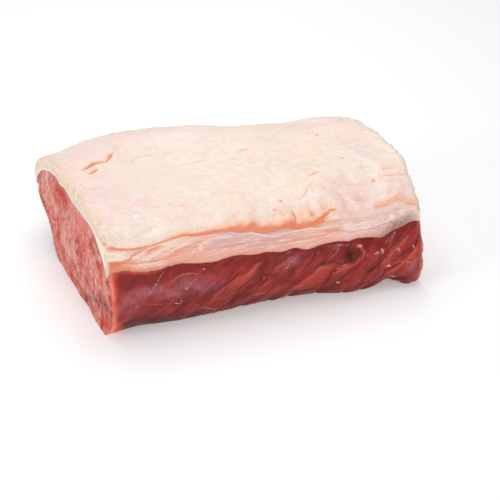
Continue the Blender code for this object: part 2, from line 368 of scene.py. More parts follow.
def makePiece(name, points, quads, masks, material):
    mesh = bpy.data.meshes.new(name)
    mesh.from_pydata((points - np.array(roast["centre"])).tolist(), [], quads.tolist())
    for maskName, values in masks.items():
        layer = mesh.attributes.new(maskName, "FLOAT", "POINT")
        layer.data.foreach_set("value", np.ascontiguousarray(values, dtype=np.float32))
    mesh.materials.append(material)
    mesh.shade_smooth()
    piece = bpy.data.objects.new(name, mesh)
    bpy.context.collection.objects.link(piece)
    return piece


def layPiece(cells, place):
    # the piece's points and quads, and the places that its relief and masks are worked out from
    station, quads = lattice(cells)
    share, s, t = station.T
    x0 = roast["length"] * share  # before the ends bulge
    points = slump(place(x0, s, t))
    x, y, z = points.T
    left, right = hump(x0, 0.0022), hump(roast["length"] - x0, 0.0022)
    where = SimpleNamespace(x=x, y=y, z=z, s=s, t=t, x0=x0, point=points, front=hump(s, 0.012), left=left,
        end=np.clip(left + right, 0, 1))
    return points, quads, where


# Lean

lean = {
    "cells": (212, 96, 84), "leafLong": 0.036, "leafWide": 0.0118, "leafDepth": 0.9 * mm, "leafTilt": 1.9 * mm,
    # slits between the leaves, as (x, z): sunk in, and painted near black as shade
    "slits": [
        [(158.4, 43.7), (149.5, 38.6), (139.5, 32.7), (124.5, 24.9), (118.2, 9.4)],
        [(124.4, 40.8), (114.6, 31), (97.2, 19)], [(195.2, 30.9), (182.4, 26), (175.8, 7.4)],
        [(199, 24.9), (191.4, 18), (186, 12)], [(228.8, 30), (211.1, 16.1), (204, 4.9)],
        [(244.8, 22.8), (233.3, 6.2)], [(90.5, 36), (83.5, 29), (78.5, 21.5)], [(107.5, 46), (100, 40), (93.5, 32)],
        [(172, 45), (165, 36), (156.5, 27)], [(65.5, 23.5), (57.5, 16), (49, 10.5)],
    ],
    "diagonalGrain": 0.2 * mm, "lumps": 0.55 * mm, "endLumps": 1.2 * mm, "endGrain": 0.5 * mm,
    # small bits of fat: x, z, width and height
    "fatBits": [
        (207.2, 43, 3.6, 1.8), (226.5, 35.5, 2.4, 3.2), (240.5, 34, 1.2, 2.6), (231.2, 21.8, 2.6, 2),
        (237.7, 9.4, 5.2, 1.5), (189.1, 14.2, 2.8, 1.4), (176, 22, 1, 0.9), (254, 34, 1.2, 2.8), (62.5, 34.5, 1.4, 1),
        (77.2, 48.2, 1.8, 1.1), (221.8, 35.2, 2.2, 1.2), (233.5, 20.5, 1.6, 1.6), (122, 13.9, 2.4, 0.9),
        (139.5, 33, 1, 0.8), (253.2, 35.4, 1, 1.8),
    ],
    "twistedFold": [(184, 25.5), (192.5, 30), (201.6, 30.8), (207.5, 33.8), (209.5, 38.5), (207.1, 42.4)],
    "loop": [(46.6, 35.5), (49.5, 41.2), (54.8, 45.2), (60.1, 46.8), (66, 47), (72.2, 45.5)],
    "sheen": [
        (13, 26.5, 9, 6), (20, 33, 10, 6), (29, 37, 11, 6), (40, 36, 10, 6), (51, 33, 11, 6), (62, 38, 11, 6),
        (77, 34, 12, 6), (150, 40, 8, 5), (252, 16.5, 5, 7),
    ],
    # dark maroon zones, mostly just under the band: partly the lean's own dark red, partly painted shade
    "maroonShade": [
        (14, 53, 9, 6), (27, 50, 14, 6), (42, 48, 10, 7), (62.5, 52, 12, 5), (79, 50, 12, 5), (100, 50, 14, 6),
        (130, 47.5, 20, 5), (165, 43.5, 14, 5), (215, 45, 14, 4), (245, 47, 10, 7),
    ],
    # places on the left cut end: y, z, half width and half height
    "salmon": [(72, 72, 16, 8), (50, 76.5, 16, 8), (35, 76.5, 14, 6), (62, 63, 14, 8)],
    "bright": [(22, 67.5, 10, 6), (5, 57.5, 6.5, 6.5), (96.5, 74.2, 15, 4.5)],
    "redder": [
        (106, 73.5, 18, 7), (2, 8, 7, 6), (113, 64, 10, 7), (120, 26, 6, 12), (105, 13, 12, 5), (85, 6, 16, 4),
        (0, 12, 10, 6), (50, 45, 8, 12),
    ],
    "bruise": [(22, 19.5, 14, 4.5), (3, 24.5, 10, 6.5), (-8.5, 25.5, 6, 5), (45, 7, 14, 5)],
    "pale": [(145, 66, 20, 14), (123, 58.5, 12, 8), (90, 40, 20, 12), (-6, 40, 5, 14)],
    "curl": [(88.5, 67.5), (81, 73.5), (72.4, 78.3), (64, 79.5)],
    "seam": [(170, 64), (156, 52.2), (142.6, 49.2), (127, 47.3), (105, 47.1)],
    # painted glints: white wet highlights near the rim
    "wetGlints": [
        (63.5, 79.5, 3, 3), (56, 81, 3, 2), (47, 81, 3, 2), (43, 80, 2, 3), (28.5, 75, 3.5, 3), (24.5, 73.5, 3, 3),
        (19, 70.5, 3, 2.5), (4.5, 64.5, 3, 4), (1, 62, 3, 3),
    ],
    "furrows": [
        [(113, 35.7), (110, 26.6), (104, 19)], [(70, 56), (76, 44), (80, 31.3), (78, 21.7), (70, 14)],
        [(35, 45), (37, 34), (39.3, 21.5)], [(17, 46), (20, 37), (18, 30)], [(95, 52), (100, 40), (98, 30)],
        [(52, 50), (56, 40), (55, 28)], [(0, 46), (4, 38), (3, 31)], [(120, 50), (123.5, 38)],
    ],
}


def leanLeaves(x, z):
    # flat bundles of muscle lie like leaves over each other, slanting up to the right
    u, v = x * 0.79 + z * 0.61, z * 0.79 - x * 0.61
    bend = 0.0042 * grain(flat(u / 0.03, v / 0.018, 7), 1) + 0.0012 * grain(flat(u / 0.009, v / 0.006, 2), 1)
    border, value, height = patchwork(u / lean["leafLong"] + 0.6, (v + bend) / lean["leafWide"], 2.0)
    strength = 0.12 + 0.88 * rise(x, 0.062, 0.03)
    return border, value, height, strength


def furrows(y, z, width):
    bentY = y + 0.003 * grain(flat(z / 0.008, y / 0.03, 5), 1)
    return np.max([mark(bentY, z, line, width) for line in lean["furrows"]], 0)


def slits(x, z, width):
    bentX = x + 0.0012 * grain(flat(x / 0.008, z / 0.008, 3), 1)
    bentZ = z + 0.0012 * grain(flat(x / 0.008, z / 0.008, 8), 1)
    return np.max([mark(bentX, bentZ, line, width) for line in lean["slits"]], 0)


def leanRelief(w):
    x, y, z = w.x, w.y, w.z
    border, value, height, strength = leanLeaves(x, z)
    u, v = x * 0.788 + z * 0.615, z * 0.788 - x * 0.615
    diagonal = grain(flat(u / 0.012, v / 0.0022, 3), 1) + 0.5 * grain(flat(u / 0.006, v / 0.0011, 5), 1)
    front = strength * (lean["leafDepth"] * (smooth(border / 0.3) - 0.75) + lean["leafTilt"] * (value - 0.5) * height)
    front += (lean["diagonalGrain"] * diagonal * (0.4 + 0.6 * strength)
        + lean["lumps"] * grain(flat(x / 0.016, 1, z / 0.011), 1))
    front += 0.5 * mm * ellipse(x, z, lean["fatBits"]) + 0.45 * mm * mark(x, z, lean["loop"], 2.2)
    front += 1.9 * mm * mark(x, z, lean["twistedFold"], 2.4) - 0.8 * mm * slits(x, z, 1.3)
    front -= 1.0 * mm * ellipse(x, z, lean["maroonShade"][:3])
    faces = (lean["endLumps"] * grain(flat(x / 0.01, (y + 0.3 * z) / 0.0075, z / 0.014), 1)
        + lean["endGrain"] * grain(w.point, 0.0045))
    faces += 1.6 * lean["endLumps"] * np.abs(grain(flat(x / 0.02, (y + 0.2 * z) / 0.02, z / 0.028), 1))
    faces *= 1 - 0.75 * ellipse(y, z, lean["salmon"]) * w.left
    faces -= w.left * 1.8 * mm * ellipse(y, z, [(142, 36, 22, 16)])
    faces += (w.left * mm * (-1.2 * furrows(y, z, 2.0) + 0.5 * mark(y, z, lean["curl"], 1.4)
        - 0.8 * ellipse(y, z, lean["bruise"]) - 1.1 * mark(y, z, lean["seam"], 2.4)
        - 0.9 * ellipse(y, z, lean["bright"]) + 0.6 * ellipse(y, z, lean["pale"])))
    faces = (faces - 1.1 * mm) * smooth(w.t / 0.03) * (0.4 + 0.6 * smooth((y + 0.01) / 0.01))
    return (front * w.front * (1 - w.end) + faces * w.end) * fall(w.t, 1, 0.06)


def leanMasks(w):
    x, y, z, end = w.x, w.y, w.z, w.end
    front = w.front * (1 - end)
    border, value, height, strength = leanLeaves(x, z)
    seen = smooth(0.45 + 1.1 * grain(flat(x, 3, z), 0.013))
    # painted shade: the grooves and slits between the leaves are painted near black
    grooveShade = np.maximum(0.8 * smooth(1 - border / 0.14) * strength * (0.15 + 0.85 * seen), 0.85 * slits(x, z, 0.9))
    # tone: each leaf's own random tone, plus painted light that makes each leaf lighter towards its upper edge
    tone = strength * (0.34 * (value - 0.5) + 0.36 * height) + 0.2 * (1 - strength) * grain(flat(x, 5, z), 0.014)
    tone = 0.5 + front * tone + 0.3 * (1 - front) * grain(w.point, 0.013, (0, 5, 0))
    # ridge: painted highlight along the raised twisted fold and the loop
    ridge = np.maximum(mark(x, z, lean["twistedFold"], 1.7), 0.5 * mark(x, z, lean["loop"], 1.2))
    # pit: painted shade in the hollow beside the twisted fold
    pit = ellipse(x, z, [(199, 36.8, 4.2, 5)])
    below = edgeHeight(w.x0) - z
    fromLeft = x - 0.003 - 0.006 * smooth(1 - z / 0.022) - 0.0015 * grain(w.point, 0.006)
    corner = smooth(1 - (fromLeft - 0.002) / 0.006)
    corner = np.maximum(corner, 0.6 * smooth(1 - (below - 0.8 * mm) / (1.6 * mm)) * fall(x, 0.05, 0.02))
    sheen = np.minimum(1.2 * ellipse(x, z, lean["sheen"]), 1) * smooth(0.75 + 0.7 * grain(w.point, 0.006))
    maroonShade = ellipse(x, z, lean["maroonShade"])
    # painted shadow on the lean just under the band's edge
    under = smooth(1 - below / (0.004 + 0.005 * hump(x - 0.228, 0.02))) * rise(x, 0.045, 0.02)
    # shade: the maroon zones, the painted shadow under the band, and painted shade darker towards the bottom
    shade = most(maroonShade * 0.9, 0.85 * under, 0.7 * smooth(1 - z / 0.016) * (0.45 + 0.55 * smooth(1 - x / 0.1)))
    # foot: painted shade, near black, low on the front by the floor
    foot = (smooth(1 - (z - 0.004) / 0.016) * smooth((x - 0.008 - 0.3 * z) / 0.01)
        * (0.45 + 0.55 * smooth(1 - (x - 0.05) / 0.05)))
    left = w.left
    pale = most(ellipse(y, z, lean["pale"]), mark(y, z, lean["curl"], 0.9), 0.8 * mark(y, z, lean["seam"], 1.8))
    # painted highlight: a pale strip along the front's left edge
    cornerHighlight = smooth(1 - (fromLeft + 0.003 * smooth(1 - z / 0.022)) / 0.0042) * front
    return {"fatBits": ellipse(x, z, lean["fatBits"]) * front, "grooveShade": grooveShade * front, "tone": tone,
        "ridge": ridge * front, "cutFace": end, "pit": pit * front, "streaky": 0.2 + 0.8 * rise(x, 0.07, 0.04),
        "corner": corner * front, "cornerHighlight": cornerHighlight, "sheen": sheen * front,
        "shade": np.clip(shade, 0, 1) * front, "foot": foot * front, "bruise": ellipse(y, z, lean["bruise"]) * left,
        "salmon": ellipse(y, z, lean["salmon"]) * end, "brightEnd": ellipse(y, z, lean["bright"]) * left,
        "redder": ellipse(y, z, lean["redder"]) * end, "furrow": furrows(y, z, 1.5) * left, "paleEnd": pale * left,
        "wetGlints": ellipse(y, z, lean["wetGlints"]) * left}


# Fine pale threads of sinew that lie on the lean's front

threads = {
    "step": 0.5 * mm, "sides": 6, "flatness": 0.5, "wander": 0.4 * mm,
    # (x, z) along each thread, and its width, in mm
    "lines": [
        ([(22, 25.2), (25.2, 27.2)], 0.8),
        ([(28.5, 31.6), (33, 35.3), (38.5, 41.5), (42.2, 46.7), (45.7, 51.4)], 0.75),
        ([(30.1, 26.6), (41.7, 24.5), (51.2, 23.5)], 0.3), ([(53.3, 22.4), (58.7, 21.4)], 1.1),
        ([(58.5, 21.8), (59.2, 26.5)], 0.5), ([(50.5, 41.5), (54.8, 45.5), (60.1, 47), (66, 47.3), (74, 44.5)], 0.35),
        ([(62.2, 33.9), (65.5, 38), (70.5, 41.3), (76.5, 44)], 0.55),
        ([(75.2, 12.7), (80.1, 10.8), (88.6, 6.6)], 0.75), ([(92, 16.5), (99, 20.5), (104, 22.5)], 0.5),
        ([(138.4, 32.8), (146.1, 35.5), (150.7, 40.3), (158.8, 45.2)], 0.7), ([(168.6, 33.1), (175.1, 36.6)], 0.4),
        ([(185.5, 28), (188.5, 29.4)], 0.8), ([(182.2, 46.3), (190.7, 46.5), (198, 45)], 0.6),
        ([(187.1, 29.5), (192.6, 31.7), (195.9, 32)], 0.6), ([(217.1, 34.9), (221.5, 34.5)], 0.9),
        ([(228.5, 20.6), (233.9, 23.8)], 0.8), ([(236.8, 23), (243.5, 24.2), (257.2, 23)], 0.5),
        ([(123, 13), (130, 15)], 0.6), ([(150, 12), (160, 16)], 0.5), ([(252.5, 36), (254.8, 31.4)], 0.5),
    ],
}


def makeThreads(skin, material):
    # skin is the points of the lean's front, which the threads follow
    points, quads, sides = [], [], threads["sides"]
    turn = 2 * math.pi * np.arange(sides)[None, :, None] / sides
    for number, (line, wide) in enumerate(threads["lines"]):
        corners = np.array(line) * mm
        reached = np.concatenate([[0], np.cumsum(np.hypot(*np.diff(corners, axis=0).T))])
        q = np.linspace(0, reached[-1], max(6, int(reached[-1] / threads["step"])))
        x = np.interp(q, reached, corners[:, 0]) + threads["wander"] * grain(flat(q / 0.003, number, 1), 1)
        z = np.interp(q, reached, corners[:, 1]) + threads["wander"] * grain(flat(q / 0.003, number, 4), 1)
        off = np.hypot(skin[:, 0] - x[:, None], skin[:, 2] - z[:, None]) + 0.0001
        near = np.argsort(off, 1)[:, :4]
        share = 1 / np.take_along_axis(off, near, 1)
        y = (skin[near, 1] * share).sum(1) / share.sum(1)
        taper = np.sin(math.pi * np.linspace(0.03, 0.97, len(q))) ** 0.5
        half = 0.5 * wide * mm * taper * np.clip(0.75 + 1.3 * grain(flat(q / 0.0016, number, 7), 1), 0.12, 1.4)
        centre = flat(x, y, z)
        ahead = np.gradient(centre, axis=0)
        ahead /= np.linalg.norm(ahead, axis=1)[:, None]
        across = np.cross(ahead, (0, -1, 0))
        across /= np.linalg.norm(across, axis=1)[:, None]
        out = np.cross(across, ahead)
        ring = np.cos(turn) * across[:, None] + threads["flatness"] * np.sin(turn) * out[:, None]
        start = sum(len(p) for p in points)
        points.append((centre[:, None] + half[:, None, None] * ring).reshape(-1, 3))
        for i in range(len(q) - 1):
            for j in range(sides):
                a, b = start + i * sides + j, start + i * sides + (j + 1) % sides
                quads.append((a, b, b + sides, a + sides))
        last = start + (len(q) - 1) * sides
        quads += [(start + 3, start + 2, start + 1, start), (start + 5, start + 4, start + 3, start),
            (last, last + 1, last + 2, last + 3), (last, last + 3, last + 4, last + 5)]
    return makePiece("sinewThreads", insideBox(np.concatenate(points)), np.array(quads), {}, material)


def makeThreadMaterial():
    shine = {"Coat Weight": 0.5, "Coat Roughness": 0.15, "Roughness": 0.4, "Subsurface Weight": 0.4,
        "Subsurface Radius": (1.0, 0.5, 0.4), "Subsurface Scale": 0.001}
    material, shader = newMaterial("sinew", shine)
    patchy = noiseAt(placed((0.0018, 0.0018, 0.0018)), 2.0, 0.6)
    link(mixColour(spread(patchy, 0.4, 0.6), (0.5, 0.13, 0.12), (0.76, 0.47, 0.44)), shader.inputs["Base Color"])
    return material


# Silverskin: the side band under the fat's lip, and a thin line between lean and fat on the cut ends

band = {
    "cells": (212, 96, 22), "stripes": 0.25 * mm, "lumps": 1.2 * mm,
    # folds of the band, all in mm: (x, z) corners, width, and how far they stand out
    "foldLines": [
        ([(3, 79.5), (12, 77.5), (22, 75.5), (30, 75.5)], 0.7, -0.8), ([(0, 77), (10, 74.5), (18, 73.5)], 1.4, 0.9),
        ([(2, 71), (12, 69.5), (20, 70)], 1.8, 0.9), ([(18, 66), (21, 70), (28, 72), (34, 75.5), (44, 77)], 0.9, -1),
        ([(22, 67), (27, 70.5), (33, 73)], 1.1, 0.9), ([(32, 68), (36, 72), (42, 74), (47, 73)], 0.8, -0.9),
        ([(27, 66.5), (34, 65.5), (41, 69), (48, 72.5), (56, 75)], 1.3, 1),
        ([(8, 67), (20, 64), (35, 62), (51, 63), (67, 66), (75, 70)], 0.8, -0.7),
        ([(12, 65.5), (22, 62.5), (36, 60.5), (50, 61)], 1, 0.6), ([(50, 68), (60, 71), (70, 72.5)], 1, 0.7),
        ([(52, 65.5), (64, 69), (76, 71.5)], 0.8, -0.6), ([(74.5, 70.5), (76.5, 67), (75.5, 63)], 1, 1.3),
        ([(79, 71), (87, 72.5), (103, 71.5)], 1, 0.8), ([(77, 64), (87, 63.5), (106, 63.5), (120, 62)], 0.9, -0.5),
        ([(100, 74.5), (106, 72), (118, 70.8), (126, 67.4), (136, 64.6), (146, 66), (155, 65.6), (166, 65.8),
          (173, 64.2), (182, 64.2), (190, 66)], 0.9, 1.3), ([(110, 64.5), (130, 62), (155, 61.5)], 0.8, -0.5),
        ([(120, 59), (145, 57.5), (170, 58)], 0.8, -0.5), ([(166, 64.8), (182, 65), (192, 62.8)], 1, 1.2),
        ([(199, 57.2), (208, 58), (221, 56.2)], 1.3, 1.3), ([(193.5, 61.5), (197.5, 64), (203.5, 62.5)], 1.3, 1),
        ([(177.5, 60.5), (187, 60), (196, 57.5)], 1, -0.7), ([(200, 60.5), (208, 62.5), (222, 62.5)], 1.2, 1.1),
        ([(200, 55.5), (220, 55), (236, 57.5)], 0.8, -0.6),
    ],
}


def bandRelief(w):
    x, z = w.x, w.z
    drift = z + 0.004 * grain(flat(x / 0.03, 1, 0), 1)
    striped = 1 - 0.75 * rise(x, 0.175, 0.025)
    front = (band["stripes"] * striped * (grain(flat(x / 0.026, drift / 0.0024, 2), 1)
        + 0.5 * grain(flat(x / 0.012, drift / 0.0012, 6), 1)))
    for line, wide, out in band["foldLines"]:
        front += out * mm * mark(x, z, line, wide)
    front += rise(x, 0.175, 0.02) * band["lumps"] * grain(flat(x, 0, z), 0.0065)
    front = np.where(front < 0, front * rise(w.t, 0.08, 0.4), front)  # so that no lean shows through
    return ((front * w.front * (1 - w.end) + 0.3 * mm * w.end * grain(w.point, 0.004)) * smooth(w.t / 0.12)
        * fall(w.t, 1, 0.12))


def bandMasks(w):
    x, z = w.x, w.z
    front = w.front * (1 - 0.8 * w.end)
    low = edgeHeight(w.x0)
    high = (z - low) / (lipEdge(w.x0) - low)
    ragged = 0.12 * grain(flat(x, 2, z), 0.008)
    warm = (smooth(1 - (x - 0.007) / 0.022) * smooth((0.58 + ragged - high) / 0.14)
        + 0.8 * smooth((0.2 + ragged - high) / 0.15) * fall(x, 0.075, 0.03))
    cream = ellipse(x, z, [(8, 72.5, 12, 4.2), (50, 75, 20, 3), (28, 68, 10, 2)])
    # fold: +1 on folds that stand out, painted as highlight, -1 on sunk folds, painted as shade
    line = np.zeros_like(x)
    for points, wide, out in band["foldLines"]:
        line += mark(x, z, points, wide) * max(-1.0, min(1.0, out * 1.1))
    grey = rise(x, 0.078, 0.012) * fall(x, 0.17, 0.03) * rise(high, 0.15, 0.3)
    # bruise: a grey patch low on the band's right, partly its own grey, partly painted shade along the lean's edge,
    # darker towards the lean
    bruise = hump(x - 0.2415, 0.017) * smooth(1.25 - (z - low + 0.003 * grain(w.point, 0.003)) / 0.01)
    swirl = fall(x, 0.085, 0.03) + 0.5 * smooth(1 - high / 0.6) * rise(x, 0.1, 0.03) * fall(x, 0.21, 0.03)
    return {"warm": np.clip(warm, 0, 1) * front, "cream": np.clip(cream, 0, 1) * front,
        "fold": np.clip(line, -1, 1) * front, "grey": grey * front, "pale": rise(x, 0.175, 0.025) * front,
        "bruise": bruise * front, "swirl": np.clip(swirl, 0, 1) * front, "cutFace": w.end,
        "frontCorner": fall(w.y, 0.045, 0.03), "high": np.clip(high, 0, 1)}


# Fat cap

fat = {
    "cells": (248, 178, 8), "granules": 0.1 * mm, "ripples": 0.25 * mm, "wrinkles": 0.4 * mm, "lipLumps": 1.0 * mm,
    "backLumps": 1.4 * mm,
    # knobs above the lip: x, z and width, in mm
    "knobs": [
        (162, 79.2, 2.4), (166.6, 74.5, 2.2), (174.7, 76.8, 2.6), (181.5, 77.6, 2.3), (172.9, 81.4, 2),
        (187.5, 73.8, 2.3), (197.9, 74.6, 2.6), (147, 77.5, 3.4), (157, 74.2, 2.2), (205, 77.5, 2.4),
        (192, 79.5, 2.2),
    ],
    "lipSplit": [(152.6, 82.2), (152.4, 77), (151.2, 72.2)],
    "shelf": [(163, 70.5), (170, 72.8), (175.3, 75.2), (181.7, 78.2), (187, 78.8)],
    "peach": [(33, 62, 24, 34), (42, 100, 18, 20), (20, 30, 20, 20)],
    # creases in the fat: (x, y) corners, width and depth in mm, and how orange they are
    "creases": [
        ([(16, 94.5), (23.5, 98.5), (28.5, 102.5), (33, 102), (37.5, 100.5)], 2.6, 1.6, 1),
        ([(38, 101.5), (42.8, 106.5), (44.5, 111), (47.5, 113.5)], 2, 1, 0.9),
        ([(18, 85.5), (23, 87), (28, 90.5)], 2, 0.8, 0.75), ([(47, 112), (53, 122), (60, 137)], 2.6, 0.6, 0.1),
        ([(55, 87), (58, 94), (63, 97), (73, 96.5), (78, 96)], 0.8, 0.6, 0.5), ([(83, 94), (94, 94)], 0.7, 0.4, 0.4),
        ([(70, 112), (88, 110)], 0.9, 0.4, 0.35), ([(88, 67), (92, 70), (100, 69.5), (112, 72)], 0.8, 0.6, 0.45),
        ([(65, 9), (75, 9)], 0.8, 0.4, 0.4), ([(140.5, 76.5), (146, 77.5), (151.5, 76.5)], 1, 0.6, 0.55),
        ([(128.5, 65), (136, 64.5)], 0.9, 0.4, 0.35), ([(138, 65.5), (142, 66.5)], 0.8, 0.4, 0.4),
        ([(99.5, 69), (110, 71.2)], 0.7, 0.4, 0.45), ([(65.5, 9), (71.5, 10)], 0.8, 0.4, 0.4),
        ([(177.5, 17.5), (183, 19.5), (188.5, 23.5)], 1, 0.6, 0.5),
        ([(161, -2), (167, 1), (172, 7), (182, 13.5)], 1.2, 0.45, 0.25),
        ([(202.5, -7.5), (206, -8.8), (212.5, -7.8)], 0.8, 0.5, 0.3),
        ([(232.5, 5.7), (244, 5), (256.9, 3.7)], 0.8, 0.5, 0.4),
        ([(236, 12.6), (246, 12.5), (255.5, 13.5)], 0.8, 0.5, 0.35),
        ([(204, 4.5), (210, 3.5), (217, 2.2)], 0.9, 0.5, 0.4), ([(213, 63), (216.5, 67)], 1, 0.4, 0.35),
    ],
    "pits": [
        (216.8, 87, 2.4, 0.9), (214.5, 83.5, 1.4, 0.5), (181.7, 98.2, 1.6, 0.8), (163.2, 87.9, 1.3, 0.5),
        (216.2, 38.3, 1.8, 0.8), (213.5, 34.5, 1.3, 0.5), (145.8, -0.5, 1.6, 0.8), (138, -6.9, 1.6, 0.6),
        (121.6, -5.5, 1.3, 0.4), (105, -7.5, 1.2, 0.4), (250.3, 112.1, 2.4, 0.9), (119, 11.6, 2.8, 0.12),
        (227.8, 3.9, 2, 0.8), (153.2, 46.7, 1, 0.4), (196.7, 3.9, 2.4, 0.1), (74.8, 94.8, 1, 0.4),
        (86.3, 109.5, 1, 0.4), (9.9, 115.2, 1.5, 0.6), (8.3, 72.7, 1.9, 0.8), (4.9, 39.4, 1.7, 0.8),
        (4.7, 90.1, 1.6, 0.5), (9.9, 91.8, 1.4, 0.3), (4.5, 11.1, 1.2, 0.4),
    ],
    "lilac": [
        (4, 90, 18, 34), (18, 60, 22, 34), (12, 20, 18, 28), (36, 20, 22, 18), (22, 125, 26, 16), (190, 0, 20, 12),
        (208, -6, 16, 12), (245, -2, 14, 12), (55, 138, 30, 12), (60, 0, 14, 8), (50, 118, 8, 14), (220, 110, 20, 12),
        (110, 156, 30, 10), (160, 158, 30, 10), (240, 60, 12, 20),
    ],
    "scuffs": [(42, -5, 4, 5), (46, -2, 3, 4), (21, -6, 2, 4), (32, 10, 2, 3), (100, 158, 10, 3)],
    # a low ridge just above the lip: (x, height above the lip) in mm, and how far it stands out
    "lipRidge": [(0, 3.5), (20, 4.5), (45, 7.5), (80, 8), (120, 8.5), (160, 9), (200, 7)],
    "lipRidgeOut": 0.7,
    "lipFold": [
        (176, 74.5), (182, 77.8), (192, 77.2), (205, 74.5), (216, 73.5), (227, 72.8), (233.3, 73.5), (241.8, 75.7),
        (246, 73.2), (250, 70.8), (259.7, 67.5), (262, 67),
    ],
}


def fatLumps(w):
    # the knobbly stretch above the lip: how strong it is there, and how high the large and the small knobs rise
    x, y, z = w.x, w.y, w.z
    nearLip = hump(y + 0.013, 0.013) * rise(x, 0.125, 0.02) * fall(x, 0.225, 0.03)
    wide = np.abs(grain(w.point * np.array((1, 0.8, 0.8)), 0.0125, (3, 1, 0))) * 2.2
    small = np.abs(grain(w.point, 0.0062, (1, 5, 0))) * 2.2
    return nearLip, np.minimum(wide, 1), np.minimum(small, 1)


def lipFoldOff(w):
    # how far off the fold at the right end is, how far above it the point lies, and where the fold counts
    x, y, z = w.x, w.y, w.z
    off, _ = offLine(x, z, fat["lipFold"])
    return off, z - np.interp(x, *np.array(fat["lipFold"]).T * mm), fall(y, 0.004, 0.01)


def wrinkles(w):
    # shallow wrinkles along the roast, mostly towards its right end
    x, y, z = w.x, w.y, w.z
    bend = 0.007 * grain(flat(x, y, z), 0.022, (0, 8, 0))
    place = rise(x, 0.14, 0.06) * (0.4 + 0.6 * smooth(0.5 + 1.2 * grain(w.point, 0.03, (1, 1, 0))))
    return (place * (grain(flat(x / 0.017, (y + bend) / 0.0042, (z - bend) / 0.0042), 1)
        + 0.6 * grain(w.point / np.array((0.009, 0.0045, 0.0045)), 1)))


def rightLumps(w):
    # how far the soft lumps of the right front stand out, in mm
    place = rise(w.x, 0.185, 0.02) * fall(w.y, 0.02, 0.03)
    return 0.75 * place * grain(w.point, 0.0065, (5, 0, 0))


def knobs(w):
    # 1 on the knobs' middles, 0 between them
    x, z = w.x + 0.001 * grain(w.point, 0.004, (2, 0, 0)), w.z + 0.001 * grain(w.point, 0.004, (7, 0, 0))
    each = [hump(np.hypot(x - atX, 1.15 * (z - atZ)), wide) for atX, atZ, wide in np.array(fat["knobs"]) * mm]
    return np.max(each, 0)


def fatRelief(w):
    x, y, z = w.x, w.y, w.z
    out = fat["granules"] * (grain(w.point, 0.0026) + 0.6 * grain(w.point, 0.0013, (3, 0, 0)))
    bend = 0.006 * grain(flat(x, y), 0.03)
    out += (fat["ripples"] * (grain(flat(x / 0.03, (y + bend) / 0.004, z / 0.004), 1)
        + 0.8 * grain(w.point, 0.008, (9, 0, 0))))
    for line, wide, deep, orange in fat["creases"]:
        off, where = offLine(x, y, line)
        taper = 0.25 + 0.75 * np.sin(math.pi * np.clip(where, 0.02, 0.98)) ** 0.7
        out -= (deep * mm * taper * hump(off, wide * 0.75 * mm)
            - 0.35 * deep * mm * taper * hump(off - 1.8 * wide * mm, wide * mm))
    for atX, atY, wide, deep in np.array(fat["pits"]) * mm:
        out -= 0.8 * deep * hump(np.hypot(x - atX, y - atY), wide * 0.7)
    over = z - lipEdge(w.x0)
    ridgeAt = np.interp(x, *np.array(fat["lipRidge"]).T * mm) * (1 + 0.3 * grain(flat(x, 6), 0.015))
    out += (fat["lipRidgeOut"] * mm * (hump(over - ridgeAt, 0.0022) - 0.8 * hump(over - ridgeAt - 0.0035, 0.0018))
        * fall(y, 0.012, 0.01) * fall(x, 0.205, 0.02))
    nearLip, wide, small = fatLumps(w)
    out += nearLip * fat["lipLumps"] * (wide ** 0.6 + 0.45 * small ** 0.7 - 0.8)
    out += ((0.9 * knobs(w) - 0.9 * mark(x, z, fat["lipSplit"], 1.1) - 0.7 * mark(x, z, fat["shelf"], 1.3)) * mm
        * fall(y, 0.02, 0.02))
    out += fat["wrinkles"] * wrinkles(w)
    out += rightLumps(w) * mm + fat["backLumps"] * rise(y, 0.135, 0.02) * (grain(w.point, 0.007, (7, 0, 0)) - 0.4)
    off, above, counts = lipFoldOff(w)
    counts *= rise(x, 0.217, 0.006)
    out += (counts * (1.2 * mm * hump(above - 0.0024, 0.0024) - 0.8 * mm * hump(off, 0.0014)
        - 0.3 * mm * hump(above + 0.0025, 0.002)))
    ends = 1.1 * mm * grain(w.point, 0.0055, (1, 0, 0)) + 0.5 * mm * grain(w.point, 0.0021) - 0.7 * mm
    return (out * (1 - 0.8 * w.end) + ends * w.end) * smooth(w.t / 0.3)


